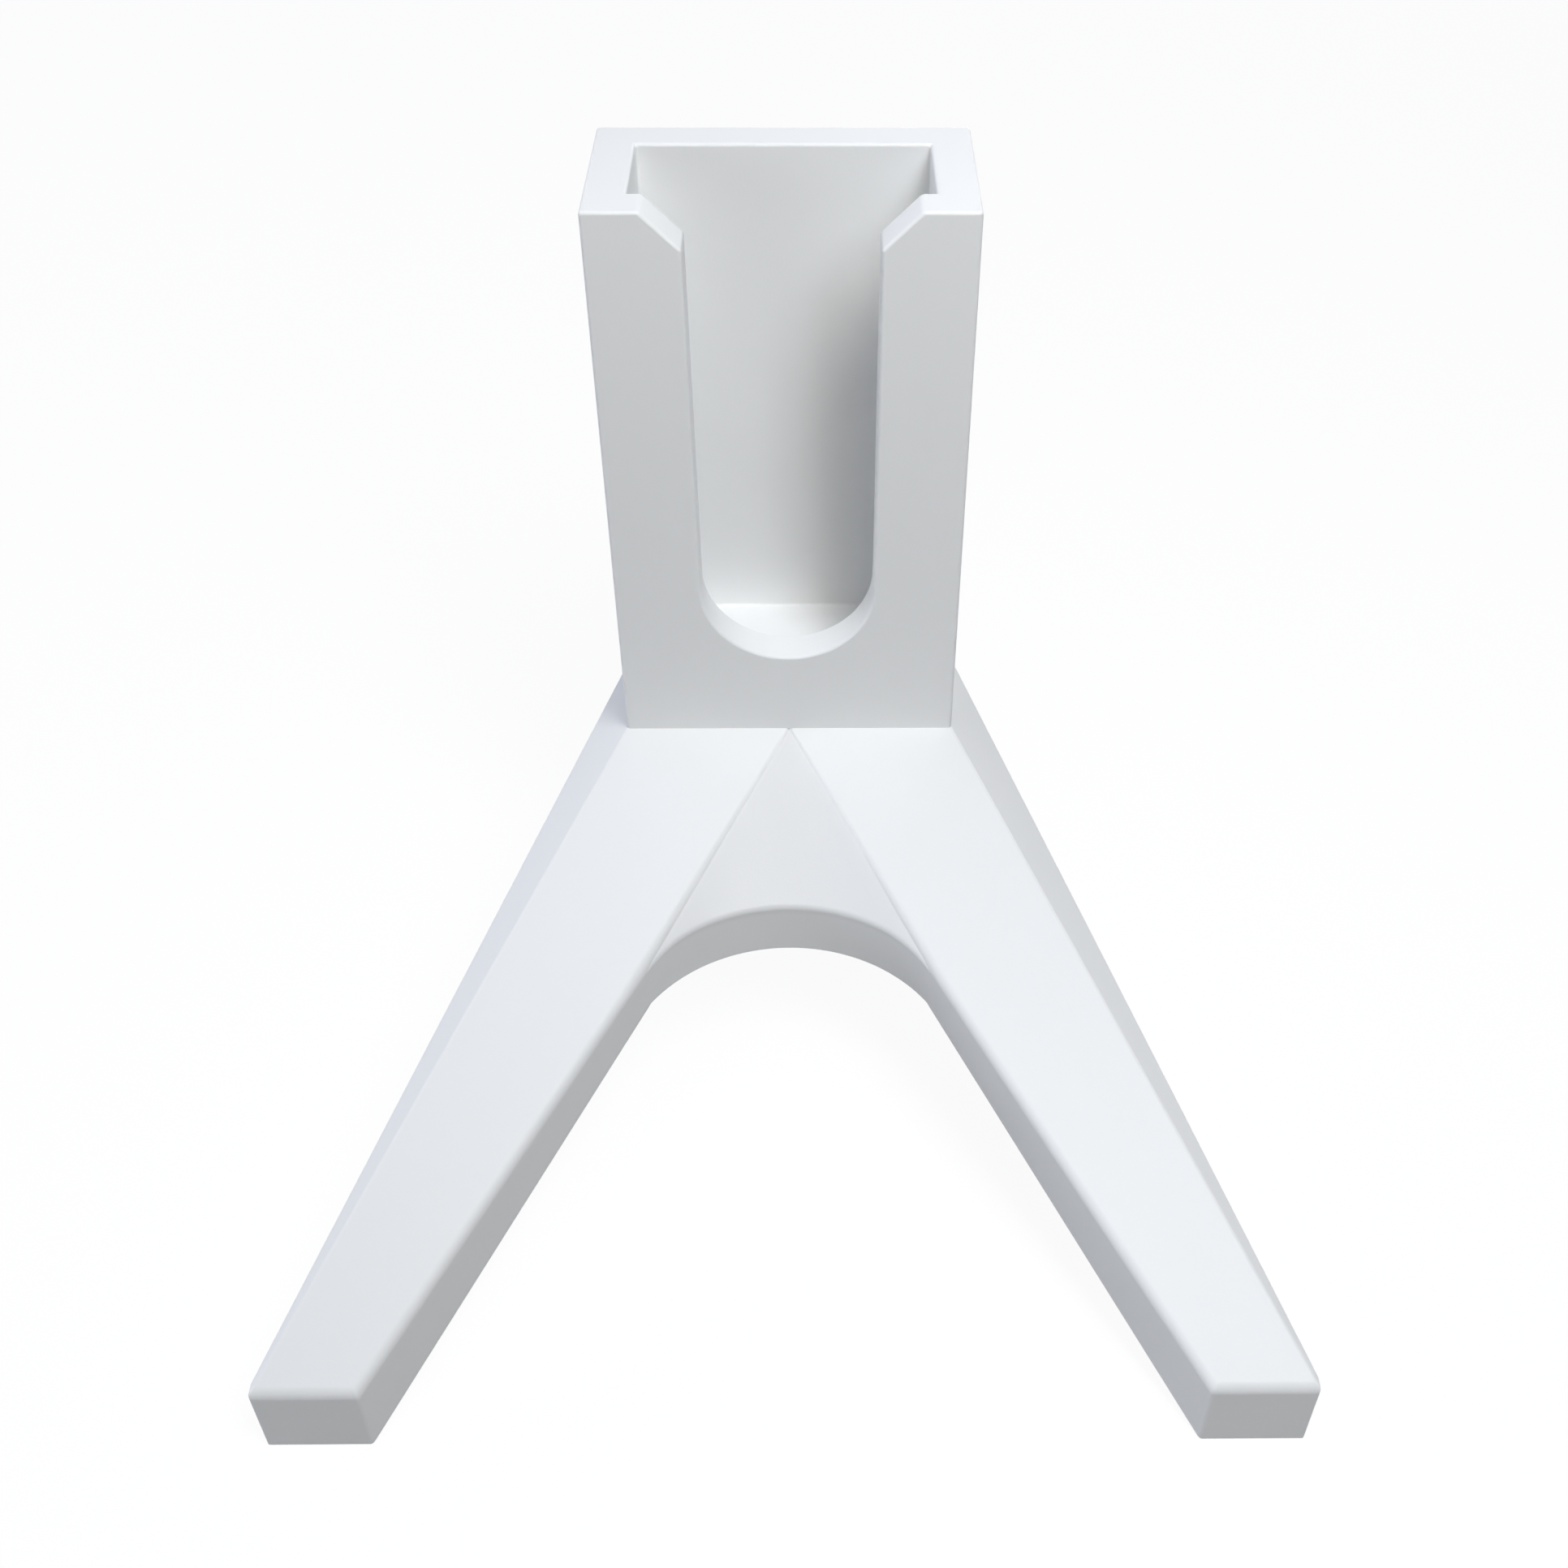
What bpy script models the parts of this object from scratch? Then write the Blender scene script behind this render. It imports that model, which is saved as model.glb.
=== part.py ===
# Portable bicycle kickstand in white plastic.
# An upright socket, open along its front, takes the free end of a bicycle's arm.
# Two splayed legs slope down from under the socket to the floor in front of it,
# and a thin concave web with a round arch braces the crotch between them.
# The real object is one moulding, so the four pieces below are its members,
# parted by fine construction seams.
#
# Metres, +Z up. The feet point towards -Y and X = 0 is the plane of symmetry.
# The origin is on the floor, in the middle of the object's footprint.
import bpy
import bmesh
from math import atan2, hypot, pi
from mathutils import Matrix, Vector

for old in list(bpy.data.objects):
    bpy.data.objects.remove(old, do_unlink=True)

# Socket
SOCKET_WIDTH = 0.054
SOCKET_DEPTH = 0.028
SOCKET_HEIGHT = 0.091        # from the legs' junction to the rim
WALL = 0.006
SOCKET_FLOOR = 0.009         # thickness of the bottom inside the socket
SLOT_WIDTH = 0.027
SLOT_SILL = 0.015            # lowest point of the slot's round end above the junction
MOUTH_CHAMFER = 0.0055       # slanted corners where the slot meets the rim

# Legs
JUNCTION_HEIGHT = 0.053      # floor to the plane where the legs meet the socket
REACH = 0.0973               # socket's front face to the end faces of the feet
STANCE = 0.1508              # outside to outside of the feet
FOOT_WIDTH = 0.0153
FOOT_HEIGHT = 0.0141
SOLE_LENGTH = 0.002          # flat strip that each foot stands on
ROOT_DEPTH = 0.0225          # how far the legs' root reaches back under the socket
ROOT_THICKNESS = 0.0053
INNER_WALL_CROSSING = 0.003  # each inner wall, run on to the front face, passes the middle by this

# Crotch web
ARCH_RADIUS = 0.0265
ARCH_STEPS = 32

# Finish and clearances
EDGE_ROUNDING = 0.0004
SEAM = 0.0003
CUT_MARGIN = 0.004           # how far a cutter reaches past what it cuts
SLOT_SEGMENTS = 64

# Places worked out from the sizes above
FRONT_Y = (REACH - SOCKET_DEPTH) / 2
FOOT_Y = FRONT_Y - REACH
RIM_Z = JUNCTION_HEIGHT + SOCKET_HEIGHT
FOOT_OUTER_X = STANCE / 2
FOOT_INNER_X = FOOT_OUTER_X - FOOT_WIDTH
ROOT_UNDERSIDE_Z = JUNCTION_HEIGHT - ROOT_THICKNESS

# The arch is an upright cylinder that both inner walls touch. Each touching line is a knee.
INNER_RUN = FOOT_INNER_X + INNER_WALL_CROSSING
INNER_LENGTH = hypot(INNER_RUN, REACH)
ARCH_Y = FRONT_Y - (ARCH_RADIUS * INNER_LENGTH + INNER_WALL_CROSSING * REACH) / INNER_RUN
KNEE_X = ARCH_RADIUS * REACH / INNER_LENGTH
KNEE_Y = ARCH_Y + ARCH_RADIUS * INNER_RUN / INNER_LENGTH
KNEE_REACH = FRONT_Y - KNEE_Y
KNEE_TOP_Z = JUNCTION_HEIGHT - (JUNCTION_HEIGHT - FOOT_HEIGHT) * KNEE_REACH / REACH
KNEE_UNDERSIDE_Z = ROOT_UNDERSIDE_Z * (1 - KNEE_REACH / (REACH - SOLE_LENGTH))

parts = bpy.data.collections.new("portable_kickstand")
cutters = bpy.data.collections.new("cutters")
bpy.context.scene.collection.children.link(parts)
bpy.context.scene.collection.children.link(cutters)


def white_plastic(name, colour):
    """A plain Principled material for one piece."""
    material = bpy.data.materials.new(name)
    material.use_nodes = True
    shader = material.node_tree.nodes["Principled BSDF"]
    shader.inputs["Base Color"].default_value = colour
    shader.inputs["Roughness"].default_value = 0.38
    shader.inputs["Metallic"].default_value = 0.0
    return material


def add_block(mesh, x, y, z):
    """A box between the two values given along each axis."""
    size = Vector((x[1] - x[0], y[1] - y[0], z[1] - z[0]))
    middle = Vector((x[0] + x[1], y[0] + y[1], z[0] + z[1])) / 2
    bmesh.ops.create_cube(mesh, size=1, matrix=Matrix.Translation(middle) @ Matrix.Diagonal(size).to_4x4())


def add_cross_cylinder(mesh, radius, y, z):
    """A cylinder along Y, between the two values given, with its axis at X = 0 and height z."""
    place = Matrix.Translation((0, (y[0] + y[1]) / 2, z)) @ Matrix.Rotation(pi / 2, 4, "X")
    bmesh.ops.create_cone(mesh, cap_ends=True, segments=SLOT_SEGMENTS, radius1=radius, radius2=radius,
                          depth=y[1] - y[0], matrix=place)


def wrap(mesh):
    """Shrink-wrap everything in the mesh with one convex skin."""
    bmesh.ops.delete(mesh, geom=mesh.faces[:] + mesh.edges[:], context="EDGES_FACES")
    skin = bmesh.ops.convex_hull(mesh, input=mesh.verts[:])
    loose = {vert for vert in skin["geom_interior"] + skin["geom_unused"] if isinstance(vert, bmesh.types.BMVert)}
    bmesh.ops.delete(mesh, geom=list(loose), context="VERTS")
    bmesh.ops.dissolve_limit(mesh, angle_limit=0.002, verts=mesh.verts[:], edges=mesh.edges[:])


def finish(mesh, name, collection):
    """Turn the bmesh into a named object in a collection."""
    bmesh.ops.recalc_face_normals(mesh, faces=mesh.faces[:])
    data = bpy.data.meshes.new(name)
    mesh.to_mesh(data)
    mesh.free()
    obj = bpy.data.objects.new(name, data)
    collection.objects.link(obj)
    return obj


def cutter(mesh, name):
    """A hidden object that only cuts others."""
    obj = finish(mesh, name, cutters)
    obj.display_type = "WIRE"
    obj.hide_render = True
    return obj


def subtract(obj, tool):
    """Cut the tool's shape out of the object."""
    cut = obj.modifiers.new(tool.name, "BOOLEAN")
    cut.operation = "DIFFERENCE"
    cut.solver = "EXACT"
    cut.object = tool


def round_edges(obj):
    """Round the object's sharp edges slightly."""
    bevel = obj.modifiers.new("edge_rounding", "BEVEL")
    bevel.width = EDGE_ROUNDING
    bevel.segments = 2
    bevel.limit_method = "ANGLE"


# Crank socket: a block with a deep pocket, a U-shaped slot through its front wall,
# and a slanted corner on each side of the slot's mouth.
# Its rounded blank runs on below the junction and is then trimmed flat there.
def crank_socket():
    blank = bmesh.new()
    add_block(blank, (-SOCKET_WIDTH / 2, SOCKET_WIDTH / 2), (FRONT_Y, FRONT_Y + SOCKET_DEPTH),
              (JUNCTION_HEIGHT - CUT_MARGIN, RIM_Z))
    socket = finish(blank, "crank_socket", parts)

    pocket = bmesh.new()
    add_block(pocket, (WALL - SOCKET_WIDTH / 2, SOCKET_WIDTH / 2 - WALL),
              (FRONT_Y + WALL, FRONT_Y + SOCKET_DEPTH - WALL),
              (JUNCTION_HEIGHT + SOCKET_FLOOR, RIM_Z + CUT_MARGIN))
    subtract(socket, cutter(pocket, "pocket_cutter"))

    # The front wall's cutters end halfway into the pocket, clear of the back wall.
    front_wall = (FRONT_Y - CUT_MARGIN, FRONT_Y + SOCKET_DEPTH / 2)
    slot = bmesh.new()
    slot_radius = SLOT_WIDTH / 2
    add_cross_cylinder(slot, slot_radius, front_wall, JUNCTION_HEIGHT + SLOT_SILL + slot_radius)
    add_block(slot, (-slot_radius, slot_radius), front_wall, (RIM_Z, RIM_Z + CUT_MARGIN))
    wrap(slot)
    subtract(socket, cutter(slot, "slot_cutter"))

    # The mouth widens at 45 degrees up to the rim and on past it.
    mouth = bmesh.new()
    mouth_top = slot_radius + MOUTH_CHAMFER + CUT_MARGIN
    add_block(mouth, (-slot_radius, slot_radius), front_wall, (RIM_Z - MOUTH_CHAMFER, RIM_Z))
    add_block(mouth, (-mouth_top, mouth_top), front_wall, (RIM_Z + CUT_MARGIN, RIM_Z + 2 * CUT_MARGIN))
    wrap(mouth)
    subtract(socket, cutter(mouth, "mouth_cutter"))

    round_edges(socket)
    trim = bmesh.new()
    add_block(trim, (-SOCKET_WIDTH, SOCKET_WIDTH), (FRONT_Y - SOCKET_DEPTH, FRONT_Y + 2 * SOCKET_DEPTH),
              (JUNCTION_HEIGHT - 2 * CUT_MARGIN, JUNCTION_HEIGHT + SEAM))
    subtract(socket, cutter(trim, "junction_trim"))
    socket.data.materials.append(white_plastic("socket_plastic", (0.83, 0.84, 0.85, 1)))


# Leg: a convex skin over the root block under the socket, the upright knee line
# where the arch's wall ends, and the small foot block with its vertical end face.
# The skin gives the flat top, the slanted outer strip that narrows towards the foot,
# and the underside that rises from the sole to the root.
def leg(name, side):
    mesh = bmesh.new()
    add_block(mesh, sorted((side * SEAM / 2, side * SOCKET_WIDTH / 2)), (FRONT_Y, FRONT_Y + ROOT_DEPTH),
              (ROOT_UNDERSIDE_Z, JUNCTION_HEIGHT))
    add_block(mesh, sorted((side * FOOT_INNER_X, side * FOOT_OUTER_X)), (FOOT_Y, FOOT_Y + SOLE_LENGTH),
              (0, FOOT_HEIGHT))
    for height in (KNEE_UNDERSIDE_Z, KNEE_TOP_Z):
        mesh.verts.new((side * KNEE_X, KNEE_Y, height))
    wrap(mesh)
    obj = finish(mesh, name, parts)
    obj.data.materials.append(white_plastic(name + "_plastic", (0.86, 0.87, 0.89, 1)))


# Crotch web: a fan from the middle of the socket's front edge to the arch's round edge,
# given its thickness downwards. The fan sinks below the legs' flat tops, so it is hollow
# like the inside of a cone. Each side is trimmed back to leave the seam to its leg.
def crotch_web():
    mesh = bmesh.new()
    half_angle = atan2(KNEE_X, KNEE_Y - ARCH_Y)
    left_end = mesh.verts.new((-KNEE_X, KNEE_Y, KNEE_TOP_Z))
    bmesh.ops.spin(mesh, geom=[left_end], cent=(0, ARCH_Y, KNEE_TOP_Z), axis=(0, 0, -1),
                   angle=2 * half_angle, steps=ARCH_STEPS)
    fan = bmesh.ops.extrude_edge_only(mesh, edges=mesh.edges[:])
    tip = [vert for vert in fan["geom"] if isinstance(vert, bmesh.types.BMVert)]
    bmesh.ops.pointmerge(mesh, verts=tip, merge_co=(0, FRONT_Y, JUNCTION_HEIGHT))

    under = bmesh.ops.extrude_face_region(mesh, geom=mesh.faces[:])
    for vert in under["geom"]:
        if isinstance(vert, bmesh.types.BMVert):
            is_tip = vert.co.y > FRONT_Y - SEAM
            vert.co.z = ROOT_UNDERSIDE_Z if is_tip else KNEE_UNDERSIDE_Z

    for side in (-1, 1):
        outward = Vector((side * KNEE_REACH, KNEE_X, 0)).normalized()
        cut = bmesh.ops.bisect_plane(mesh, geom=mesh.verts[:] + mesh.edges[:] + mesh.faces[:],
                                     plane_co=Vector((0, FRONT_Y, 0)) - SEAM * outward,
                                     plane_no=outward, clear_outer=True)
        rim = [edge for edge in cut["geom_cut"] if isinstance(edge, bmesh.types.BMEdge)]
        bmesh.ops.contextual_create(mesh, geom=rim)

    obj = finish(mesh, "crotch_web", parts)
    obj.data.materials.append(white_plastic("web_plastic", (0.80, 0.81, 0.82, 1)))


crank_socket()
leg("left_leg", -1)
leg("right_leg", 1)
crotch_web()
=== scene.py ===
# Portable bicycle kickstand in white plastic, seen as in the photograph.
# The real object is one moulding. Its four members are modelled piece by piece at the
# sizes of the solids they stand for, and they meet without a gap, as the moulding does.
# Lengths are in metres, except where a name or a comment says otherwise.
from math import atan2, cos, hypot, pi, radians, sin, tan
import bmesh
import bpy
from mathutils import Euler, Matrix, Vector


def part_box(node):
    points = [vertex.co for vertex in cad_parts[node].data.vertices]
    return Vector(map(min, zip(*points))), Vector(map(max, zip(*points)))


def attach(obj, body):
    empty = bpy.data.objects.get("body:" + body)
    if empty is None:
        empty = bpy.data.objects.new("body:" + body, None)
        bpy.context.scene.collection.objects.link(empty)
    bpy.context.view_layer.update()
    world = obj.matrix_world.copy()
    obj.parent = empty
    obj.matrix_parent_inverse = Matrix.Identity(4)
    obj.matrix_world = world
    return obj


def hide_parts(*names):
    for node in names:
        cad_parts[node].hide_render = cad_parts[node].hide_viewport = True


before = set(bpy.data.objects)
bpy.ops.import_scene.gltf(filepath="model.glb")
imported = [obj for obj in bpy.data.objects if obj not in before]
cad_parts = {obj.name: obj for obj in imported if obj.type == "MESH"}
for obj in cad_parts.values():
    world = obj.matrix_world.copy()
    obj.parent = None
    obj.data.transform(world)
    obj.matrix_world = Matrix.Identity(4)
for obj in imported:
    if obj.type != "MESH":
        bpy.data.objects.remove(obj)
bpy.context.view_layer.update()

# The camera stands in front of the feet and a little to the right, looking down into the
# pocket. The picture is a crop, so its optical axis passes beside the middle.
PHOTO_SIZE = 1932            # pixels along each side
FOCAL_LENGTH_PX = 2190.9
AXIS_PX = (1027.4, 913.1)    # where the optical axis meets the picture
SENSOR_WIDTH = 36.0          # millimetres
CAMERA_PLACE = (0.00454, -0.18845, 0.24831)
TURN_RIGHT = radians(0.742)
LOOK_DOWN = radians(41.618)
ROLL = radians(0.34)
NEAREST_SEEN = 0.01

lens = bpy.data.cameras.new("camera")
lens.sensor_width = SENSOR_WIDTH
lens.lens = FOCAL_LENGTH_PX / PHOTO_SIZE * SENSOR_WIDTH
lens.shift_x = (PHOTO_SIZE / 2 - AXIS_PX[0]) / PHOTO_SIZE
lens.shift_y = (AXIS_PX[1] - PHOTO_SIZE / 2) / PHOTO_SIZE
lens.clip_start = NEAREST_SEEN
camera = bpy.data.objects.new("camera", lens)
aim = Euler((pi / 2 - LOOK_DOWN, 0, -TURN_RIGHT)).to_matrix() @ Matrix.Rotation(ROLL, 3, "Z")
camera.matrix_world = Matrix.Translation(CAMERA_PLACE) @ aim.to_4x4()
bpy.context.scene.collection.objects.link(camera)
bpy.context.scene.camera = camera
bpy.context.scene.view_settings.view_transform = "Standard"

# Floor and surroundings: plain white where they are seen, as around a cut-out. The floor
# is a sheet of pale paper that still takes the stand's shadow, softened as on a lit table.
FLOOR_SIZE = 20.0
WHITE = (1, 1, 1, 1)
PAPER_COLOUR = (0.4, 0.4, 0.4, 1)
GLOW = 1.17                  # strength of the even white that is laid over the lit paper
GLOW_SHARE = 0.8             # how much of what is seen of the floor is that white


class Socket:
    """A shader node's output, wrapped so that each + and * adds a Math node."""

    def __init__(self, tree, output):
        self.tree = tree
        self.output = output

    def math(self, operation, other):
        settings = {"operation": operation}
        return add_node(self.tree, "ShaderNodeMath", settings, {0: self, 1: other})[0]

    def __add__(self, other):
        return self.math("ADD", other)

    def __mul__(self, other):
        return self.math("MULTIPLY", other)

    __radd__ = __add__
    __rmul__ = __mul__


def add_node(tree, kind, settings, inputs):
    """Add a node, set it up, fill or link its sockets, and give its outputs wrapped."""
    node = tree.nodes.new(kind)
    for name, value in settings.items():
        setattr(node, name, value)
    for name, value in inputs.items():
        if isinstance(value, Socket):
            tree.links.new(value.output, node.inputs[name])
        else:
            node.inputs[name].default_value = value
    return [Socket(tree, output) for output in node.outputs]


def new_tree(owner):
    """Clear the nodes that a material or the world starts with."""
    owner.use_nodes = True
    owner.node_tree.nodes.clear()
    return owner.node_tree


def seen_directly(tree):
    """1 for the camera and for reflections, 0 for light that falls on something."""
    path = add_node(tree, "ShaderNodeLightPath", {}, {})
    by_name = {item.output.name: item for item in path}
    seen = by_name["Is Camera Ray"] + by_name["Is Glossy Ray"] + by_name["Is Transmission Ray"]
    return seen.math("MINIMUM", 1.0)


world = bpy.data.worlds.new("white_surroundings")
bpy.context.scene.world = world
tree = new_tree(world)
air = add_node(tree, "ShaderNodeBackground", {}, {"Color": WHITE, "Strength": seen_directly(tree)})
add_node(tree, "ShaderNodeOutputWorld", {}, {"Surface": air[0]})

bpy.ops.object.select_all(action="DESELECT")
bpy.ops.mesh.primitive_plane_add(size=FLOOR_SIZE)
floor = bpy.context.object
floor.name = "floor"
paper = bpy.data.materials.new("pale_paper")
tree = new_tree(paper)
lit = add_node(tree, "ShaderNodeBsdfDiffuse", {}, {"Color": PAPER_COLOUR})
glow = add_node(tree, "ShaderNodeEmission", {}, {"Color": WHITE, "Strength": GLOW})
glow_share = seen_directly(tree) * GLOW_SHARE
mixed = add_node(tree, "ShaderNodeMixShader", {}, {0: glow_share, 1: lit[0], 2: glow[0]})
add_node(tree, "ShaderNodeOutputMaterial", {}, {"Surface": mixed[0]})
floor.data.materials.append(paper)

# Soft studio light: a broad box overhead, wide ones behind and on the left, and three
# small ones high in front, to the right, that leave the soft shadow in the pocket.
# Each has its direction from the stand, its distance, width, power in watts and colour.
LAMPS = (
    ("top_box", (0.0, 0.0, 1.0), 1.0, 0.6, 2.35, (0.82, 0.86, 1.0)),
    ("back_left_box", (-0.61, 0.61, 0.5), 1.0, 0.6, 1.25, (0.78, 0.84, 1.0)),
    ("left_box", (-0.99, 0.0, 0.14), 1.0, 0.5, 3.55, (0.85, 0.89, 1.0)),
    ("front_left_box", (-0.7, -0.7, 0.14), 1.0, 0.5, 1.0, (0.90, 0.94, 1.0)),
    ("key_front", (0.13, -0.35, 0.93), 0.5, 0.12, 0.28, (1.0, 0.95, 0.60)),
    ("key_box", (0.21, -0.31, 0.93), 0.5, 0.12, 0.69, (0.92, 0.94, 1.0)),
    ("key_low", (0.33, -0.47, 0.82), 0.5, 0.12, 0.43, (0.89, 0.93, 1.0)),
    ("back_fill", (0.3, 0.95, 0.15), 1.0, 0.6, 1.7, (0.90, 0.93, 1.0)),
)
for name, direction, distance, width, power, colour in LAMPS:
    light = bpy.data.lights.new(name, "AREA")
    light.shape = "SQUARE"
    light.size = width
    light.energy = power
    light.color = colour
    lamp = bpy.data.objects.new(name, light)
    away = Vector(direction).normalized()
    lamp.location = away * distance
    lamp.rotation_euler = away.to_track_quat("Z", "Y").to_euler()
    bpy.context.scene.collection.objects.link(lamp)

# Crank socket: an upright block with a deep pocket for the end of the bicycle's arm, and a
# U-shaped slot with two slanted corners through its front wall. It is smooth white plastic
# with a fine satin grain and softly broken edges, moulded in one with the legs under it.
WALL = 0.006
POCKET_FLOOR = 0.009
SLOT_WIDTH = 0.027
SLOT_SILL = 0.015            # height of the slot's lowest place above the socket's foot
SLOT_VERTICES = 128
MOUTH_CHAMFER = 0.0055
CUT_MARGIN = 0.002           # how far the slot's cutter stands out of the wall
EDGE_ROUNDING = 0.0005
ROUNDING_STEPS = 4
SHARP_ANGLE = radians(25)    # a turn that shows as an edge, and not as a curve's facet
SMOOTH_ANGLE = radians(32)   # faces that turn by less than this are shaded as one
LOOKS_UP = 0.9               # the least rise of the normal of a face that looks up
NEAR = 0.00002               # two places that are closer than this are one

# The plastic's two tints lie in clouds. Noise scales are in features for each metre.
DARKER_WHITE = (0.925, 0.930, 0.935, 1)
LIGHTER_WHITE = (0.940, 0.944, 0.950, 1)
CLOUDS = {"Scale": 38.0, "Detail": 2.0}                        # a few centimetres wide
GRAIN = {"Scale": 2600.0, "Detail": 3.0, "Roughness": 0.6}     # less than half a millimetre
GRAIN_RELIEF = {"Strength": 0.35, "Distance": 0.00004}
LEAST_ROUGHNESS = 0.40
CLOUD_ROUGHNESS = 0.08       # how much the clouds add to it
GRAIN_ROUGHNESS = 0.06       # and how much the grain adds
SURFACE = {"Metallic": 0.0, "IOR": 1.46, "Specular IOR Level": 0.35}

socket_low, socket_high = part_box("crank_socket")
leg_low, leg_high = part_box("right_leg")
front_y = socket_low.y
junction_z = leg_high.z


def mix_colours(tree, blend_type, share, first, second):
    """Lay the second colour over the first by the share, on a Mix node's colour sockets."""
    settings = {"data_type": "RGBA", "blend_type": blend_type}
    return add_node(tree, "ShaderNodeMix", settings, {0: share, 6: first, 7: second})[2]


def moulded_plastic(name, painted_shade=None):
    """White plastic: an even satin grain, with faint clouds in its tint and its gloss.

    If given, the last argument is two heights and a tint of painted shade, which stands for the
    shade that falls on the web between the legs.
    The plastic takes on that tint between the first height and the second, and has it in full
    above.
    """
    material = bpy.data.materials.new(name)
    tree = new_tree(material)
    place = add_node(tree, "ShaderNodeTexCoord", {}, {})
    position = next(item for item in place if item.output.name == "Object")
    clouds = add_node(tree, "ShaderNodeTexNoise", {}, {"Vector": position, **CLOUDS})[0]
    grain = add_node(tree, "ShaderNodeTexNoise", {}, {"Vector": position, **GRAIN})[0]
    colour = mix_colours(tree, "MIX", clouds, DARKER_WHITE, LIGHTER_WHITE)
    # Painted shade: the tint darkens the plastic above the given heights.
    if painted_shade:
        start, end, tint = painted_shade
        height = add_node(tree, "ShaderNodeSeparateXYZ", {}, {0: position})[2]
        share = add_node(tree, "ShaderNodeMapRange", {"interpolation_type": "SMOOTHSTEP"},
                         {"Value": height, "From Min": start, "From Max": end})[0]
        colour = mix_colours(tree, "MULTIPLY", share, colour, tint)
    roughness = clouds * CLOUD_ROUGHNESS + grain * GRAIN_ROUGHNESS + LEAST_ROUGHNESS
    relief = add_node(tree, "ShaderNodeBump", {}, {"Height": grain, **GRAIN_RELIEF})[0]
    shell = add_node(tree, "ShaderNodeBsdfPrincipled", {},
                     {"Base Color": colour, "Roughness": roughness, "Normal": relief, **SURFACE})
    add_node(tree, "ShaderNodeOutputMaterial", {}, {"Surface": shell[0]})
    return material


def add_block(low, high):
    """A box between two corners: a new object, or part of the mesh being edited."""
    low, high = Vector(low), Vector(high)
    bpy.ops.mesh.primitive_cube_add(size=1, location=(low + high) / 2, scale=high - low)


def begin(name):
    """Name the new primitive, set its place into its mesh and open it, all selected."""
    piece = bpy.context.object
    piece.name = name
    bpy.ops.object.transform_apply(location=True, rotation=True, scale=True)
    bpy.ops.object.mode_set(mode="EDIT")
    bpy.ops.mesh.select_mode(type="VERT")
    bpy.ops.mesh.select_all(action="SELECT")
    return piece


def pick(piece, kind, wanted):
    """Select the vertices, edges or faces for which wanted is true, and nothing else."""
    bpy.ops.mesh.select_all(action="DESELECT")
    bpy.ops.mesh.select_mode(type={"verts": "VERT", "edges": "EDGE", "faces": "FACE"}[kind])
    mesh = bmesh.from_edit_mesh(piece.data)
    mesh.normal_update()
    for item in getattr(mesh, kind):
        if wanted(item):
            item.select_set(True)
    mesh.select_flush_mode()
    bmesh.update_edit_mesh(piece.data)


def raise_up(height):
    """Extrude what is selected straight up, or down."""
    bpy.ops.mesh.extrude_region_move(TRANSFORM_OT_translate={"value": (0, 0, height)})


def is_sharp(edge):
    """Whether the edge is an edge to the eye, not a line between a curve's facets."""
    return edge.calc_face_angle(0) > SHARP_ANGLE


def break_edges(piece, width, share_of):
    """Round the piece's edges, each by its own share of the width, from 0 to 1."""
    shares = {share_of(edge) for edge in bmesh.from_edit_mesh(piece.data).edges} - {0}
    for share in sorted(shares):
        pick(piece, "edges", lambda edge: share_of(edge) == share)
        bpy.ops.transform.edge_bevelweight(value=share)
    bpy.ops.object.mode_set(mode="OBJECT")
    rounding = piece.modifiers.new("rounding", "BEVEL")
    rounding.limit_method = "WEIGHT"
    rounding.width = width
    rounding.segments = ROUNDING_STEPS
    rounding.use_clamp_overlap = False
    bpy.ops.object.modifier_apply(modifier=rounding.name)


def complete(piece, node, material):
    """Smooth the piece's shading, give it its plastic and let it stand for its node."""
    bpy.ops.object.shade_smooth_by_angle(angle=SMOOTH_ANGLE)
    flat_faces = piece.modifiers.new("keep_flat_faces_flat", "WEIGHTED_NORMAL")
    flat_faces.keep_sharp = True
    bpy.ops.object.modifier_apply(modifier=flat_faces.name)
    piece.data.materials.clear()
    piece.data.materials.append(material)
    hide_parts(node)
    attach(piece, "root")


bpy.ops.object.select_all(action="DESELECT")
add_block((socket_low.x, front_y, junction_z), socket_high)
socket = begin("moulded_socket")
pick(socket, "faces", lambda face: face.normal.z > LOOKS_UP)
bpy.ops.mesh.inset(thickness=WALL)
raise_up(junction_z + POCKET_FLOOR - socket_high.z)
bpy.ops.object.mode_set(mode="OBJECT")

# The slot's cutter is a lying cylinder whose upper half is drawn up and flared at the rim.
slot_radius = SLOT_WIDTH / 2
slot_centre = Vector((0, front_y + WALL / 2, junction_z + SLOT_SILL + slot_radius))
bpy.ops.object.select_all(action="DESELECT")
bpy.ops.mesh.primitive_cylinder_add(vertices=SLOT_VERTICES, radius=slot_radius,
                                    depth=WALL + 2 * CUT_MARGIN,
                                    location=slot_centre, rotation=(pi / 2, 0, 0))
slot_tool = begin("slot_tool")
bpy.ops.mesh.bisect(plane_co=slot_centre, plane_no=(0, 0, 1), clear_outer=True, use_fill=True)
raise_up(socket_high.z - MOUTH_CHAMFER - slot_centre.z)
raise_up(MOUTH_CHAMFER + CUT_MARGIN)
flare = (slot_radius + MOUTH_CHAMFER + CUT_MARGIN) / slot_radius
bpy.ops.transform.resize(value=(flare, 1, 1), center_override=slot_centre)
bpy.ops.mesh.select_all(action="SELECT")
bpy.ops.mesh.normals_make_consistent(inside=False)
bpy.ops.object.mode_set(mode="OBJECT")

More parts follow.
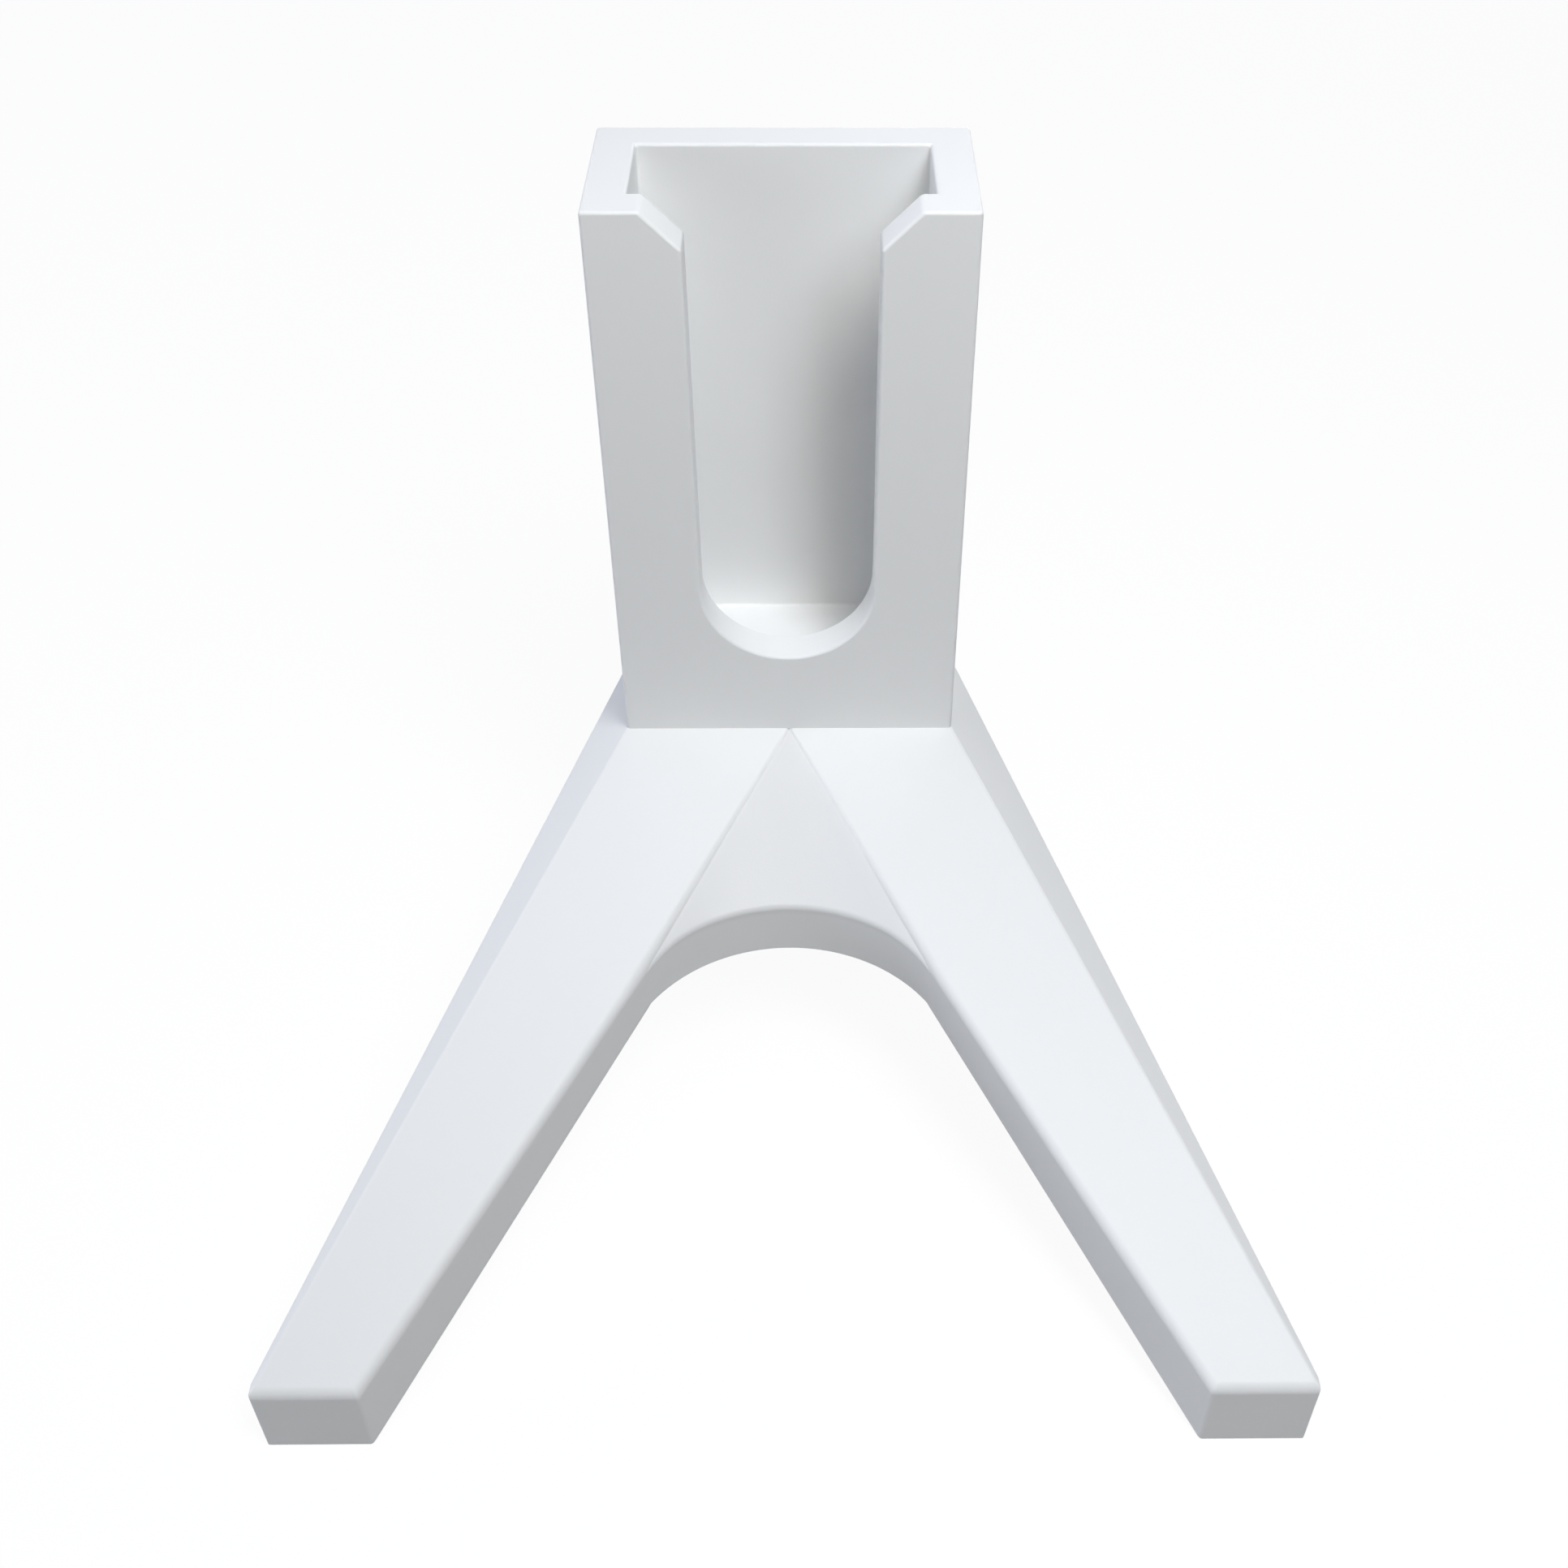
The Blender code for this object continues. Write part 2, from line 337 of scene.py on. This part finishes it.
bpy.ops.object.select_all(action="DESELECT")
bpy.context.view_layer.objects.active = socket
socket.select_set(True)
cut = socket.modifiers.new("slot", "BOOLEAN")
cut.operation = "DIFFERENCE"
cut.solver = "EXACT"
cut.object = slot_tool
bpy.ops.object.modifier_apply(modifier=cut.name)
bpy.data.objects.remove(slot_tool, do_unlink=True)


def socket_share(edge):
    """1 for the sharp edges, 0 where the legs and the web go on in the junction plane."""
    ends = [vert.co for vert in edge.verts]
    is_low = max(end.z for end in ends) < junction_z + NEAR
    goes_on = is_low and min(end.y for end in ends) < socket_high.y - NEAR
    return int(is_sharp(edge) and not goes_on)


bpy.ops.object.mode_set(mode="EDIT")
break_edges(socket, EDGE_ROUNDING, socket_share)
plastic = moulded_plastic("white_moulded_plastic")
complete(socket, "crank_socket", plastic)

# Legs: two tapering arms of the same plastic that slope from their root block, moulded on
# under the socket, to the ground. Each is flat on top, with a slanted outer strip that
# narrows to nothing at the foot. The foot has an upright end face and a narrow sole.
FOOT_WIDTH = 0.0153
FOOT_HEIGHT = 0.0141
SOLE_LENGTH = 0.002
ROOT_DEPTH = 0.0225
ROOT_THICKNESS = 0.0053
BURIED = 0.0004              # how far the root reaches up into the socket's block
INNER_WALL_CROSSING = 0.003  # how far past the middle its line meets the socket's front
ARCH_RADIUS = 0.0265
LEG_ROUNDING = 0.0018        # along the brow, where the web falls away from the leg
SOFT_SHARE = 0.72            # of that rounding, along the other inner top edges
FINE_SHARE = 0.18            # and along the rest
FLAT_ANGLE = radians(0.5)    # faces that turn by less than this become one face

foot_y = leg_low.y
reach = front_y - foot_y
foot_inner_x = leg_high.x - FOOT_WIDTH
root_underside_z = junction_z - ROOT_THICKNESS
leg_slope = (junction_z - FOOT_HEIGHT) / reach

# Both inner walls touch the arch, an upright cylinder. Each touching line is a knee.
inner_run = foot_inner_x + INNER_WALL_CROSSING
inner_length = hypot(inner_run, reach)
arch_y = front_y - (ARCH_RADIUS * inner_length + INNER_WALL_CROSSING * reach) / inner_run
knee_x = ARCH_RADIUS * reach / inner_length
knee_y = arch_y + ARCH_RADIUS * inner_run / inner_length
knee_reach = front_y - knee_y
knee_top_z = junction_z - leg_slope * knee_reach
knee_underside_z = root_underside_z * (1 - knee_reach / (reach - SOLE_LENGTH))


def build_leg(name, node, side):
    """Shrink a convex skin over the root, the knee line and the foot of one leg."""
    def block(x, y, z):
        """A block between two ends on each axis. X counts from the middle to the leg's side."""
        inner, outer = sorted((side * x[0], side * x[1]))
        add_block((inner, y[0], z[0]), (outer, y[1], z[1]))

    bpy.ops.object.select_all(action="DESELECT")
    knee = (side * knee_x, knee_y, knee_underside_z)
    bpy.ops.mesh.primitive_plane_add(size=NEAR, location=knee)
    piece = begin(name)
    bpy.ops.mesh.merge(type="CENTER")
    bpy.ops.mesh.select_all(action="SELECT")
    raise_up(knee_top_z - knee_underside_z)
    root_y = (front_y, front_y + ROOT_DEPTH)
    block((0, socket_high.x), root_y, (root_underside_z, junction_z))
    # The buried top of the root continues the leg's top plane and its outer strip.
    outer_slope = (leg_high.x - socket_high.x) / (junction_z - FOOT_HEIGHT)
    buried_y = (front_y + BURIED / leg_slope, front_y + ROOT_DEPTH)
    block((0, socket_high.x - BURIED * outer_slope), buried_y, (junction_z, junction_z + BURIED))
    foot_top_z = leg_low.z + FOOT_HEIGHT
    block((foot_inner_x, leg_high.x), (foot_y, foot_y + SOLE_LENGTH), (leg_low.z, foot_top_z))
    bpy.ops.mesh.select_all(action="SELECT")
    bpy.ops.mesh.delete(type="EDGE_FACE")
    bpy.ops.mesh.select_all(action="SELECT")
    bpy.ops.mesh.convex_hull()
    bpy.ops.mesh.select_all(action="SELECT")
    bpy.ops.mesh.dissolve_limited(angle_limit=FLAT_ANGLE)
    bpy.ops.mesh.select_all(action="SELECT")
    bpy.ops.mesh.normals_make_consistent(inside=False)

    # The wall beside the web stands upright, from the middle of the socket's front to the knee.
    corner = Vector((0, front_y, 0))
    across_wall = Vector((side * knee_reach, knee_x, 0)).normalized()

    def leg_share(edge):
        """The brow beside the web is rounded most, and hidden edges are not rounded."""
        ends = [vert.co for vert in edge.verts]
        lowest, highest = sorted(end.z for end in ends)
        is_buried = lowest > junction_z - NEAR
        is_middle = max(abs(end.x) for end in ends) < NEAR
        if not is_sharp(edge) or is_buried or is_middle:
            return 0
        if max(abs((end - corner).dot(across_wall)) for end in ends) < NEAR:
            is_brow = highest > junction_z - NEAR and lowest > knee_top_z - NEAR
            return 1 if is_brow else 0
        is_top = lowest > foot_top_z - NEAR and max(end.y for end in ends) < front_y
        is_inside = max(abs(end.x) for end in ends) < leg_high.x - NEAR
        is_at_toe = max(end.y for end in ends) < foot_y + NEAR
        return SOFT_SHARE if is_top and (is_inside or is_at_toe) else FINE_SHARE

    break_edges(piece, LEG_ROUNDING, leg_share)
    complete(piece, node, plastic)


build_leg("moulded_left_leg", "left_leg", -1)
build_leg("moulded_right_leg", "right_leg", 1)

# Crotch web: the thin brace between the legs, moulded in one with them. It falls from the
# middle of the socket's front edge to the arch's level edge, hollow like the inside of a
# cone, and the arch's wall runs on smoothly into the legs' inner walls.
ARCH_STEPS = 96
CROWN_TOP = 0.0381           # height of the arch's edge in the middle, before it is rounded
BROW_RADIUS = 0.0013         # of the rounding along that edge
BROW_TURN = radians(57)      # how far the rounding turns before the web's face begins
BROW_STEPS = 4
TIP_DEPTH = 0.0003           # of the web's sides under the legs' top faces, at the tip
KNEE_DEPTH = 0.0008          # and at the knees
SIDE_HOLLOW = 0.012          # how far from the knees the arch's edge begins to sink
PAINTED_SHADE_HEIGHT = 0.002       # of the band just under the arch's edge over which the painted shade on the web's face fades out
# painted shade on the web's sloping face, for the shade that falls between the legs in front of
# the socket
PAINTED_SHADE_TINT = (0.90, 0.90, 0.905, 1)

half_angle = atan2(knee_x, knee_y - arch_y)     # from the middle of the arch to a knee
brow_low_z = CROWN_TOP - BROW_RADIUS * tan(BROW_TURN / 2)
brow_high_z = brow_low_z + BROW_RADIUS * sin(BROW_TURN)
brow_reach = BROW_RADIUS * (1 - cos(BROW_TURN))


def beside_left_knee(radius, z):
    """A place on the line from the arch's axis through the left knee."""
    return Vector((-radius * sin(half_angle), arch_y + radius * cos(half_angle), z))


def radius_at(vert):
    """How far the vertex is from the arch's axis."""
    return hypot(vert.co.x, vert.co.y - arch_y)


def is_at_an_end(vert):
    """Whether the vertex is at a knee, where the sweep along the arch begins or ends."""
    return abs(vert.co.x) * cos(half_angle) > (vert.co.y - arch_y) * sin(half_angle) - NEAR


def gather(piece, place):
    """Draw new faces from the selected edges to one point."""
    bpy.ops.mesh.extrude_edges_move()
    bpy.ops.mesh.merge(type="CENTER")
    drawn = next(vert.co.copy() for vert in bmesh.from_edit_mesh(piece.data).verts if vert.select)
    bpy.ops.transform.translate(value=Vector(place) - drawn)


# The rounding's section stands at the left knee and is swept along the arch. Spin turns
# clockwise about an axis that points at the viewer.
bpy.ops.object.select_all(action="DESELECT")
bpy.ops.mesh.primitive_plane_add(size=NEAR, location=beside_left_knee(ARCH_RADIUS, brow_low_z))
web = begin("moulded_crotch_web")
bpy.ops.mesh.merge(type="CENTER")
bpy.ops.mesh.select_all(action="SELECT")
bpy.ops.mesh.spin(steps=BROW_STEPS, angle=BROW_TURN, axis=(cos(half_angle), sin(half_angle), 0),
                  center=beside_left_knee(ARCH_RADIUS + BROW_RADIUS, brow_low_z))
bpy.ops.mesh.select_all(action="SELECT")
bpy.ops.mesh.spin(steps=ARCH_STEPS, angle=2 * half_angle, axis=(0, 0, 1),
                  center=(0, arch_y, CROWN_TOP))

# Both ends sink until they lie just under the legs' rounded edges.
end_y = beside_left_knee(ARCH_RADIUS + brow_reach, 0).y
end_z = junction_z - leg_slope * (front_y - end_y) - KNEE_DEPTH
pick(web, "verts", is_at_an_end)
bpy.ops.transform.translate(value=(0, 0, end_z - brow_high_z), use_proportional_edit=True,
                            proportional_edit_falloff="SHARP", proportional_size=SIDE_HOLLOW)

# The face is drawn to a point behind the legs' corner, so its sides run inside the legs.
behind = brow_reach * hypot(knee_x, knee_reach) / knee_x
pick(web, "verts", lambda vert: radius_at(vert) > ARCH_RADIUS + brow_reach - NEAR)
gather(web, (0, front_y + behind, junction_z + leg_slope * behind - TIP_DEPTH))

# The arch's wall goes straight down and the underside closes at the root's front edge.
pick(web, "verts", lambda vert: radius_at(vert) < ARCH_RADIUS + NEAR)
bpy.ops.mesh.extrude_edges_move()
bpy.ops.transform.resize(value=(1, 1, 0), center_override=(0, 0, knee_underside_z))
gather(web, (0, front_y, root_underside_z))
bpy.ops.mesh.select_all(action="SELECT")
bpy.ops.mesh.fill_holes(sides=0)
bpy.ops.mesh.select_all(action="SELECT")
bpy.ops.mesh.normals_make_consistent(inside=False)


def web_share(edge):
    """The arch's lower edge is finely rounded and the rest stays as it was swept."""
    is_wall = max(radius_at(vert) for vert in edge.verts) < ARCH_RADIUS + NEAR
    is_low = max(vert.co.z for vert in edge.verts) < knee_underside_z + NEAR
    return FINE_SHARE if is_wall and is_low else 0


break_edges(web, LEG_ROUNDING, web_share)
# The web's sloping face is darkened with painted shade, which fades out down the rounding of the
# arch's edge.
web_painted_shade = (CROWN_TOP - PAINTED_SHADE_HEIGHT, CROWN_TOP, PAINTED_SHADE_TINT)
complete(web, "crotch_web", moulded_plastic("web_plastic_with_painted_shade", web_painted_shade))
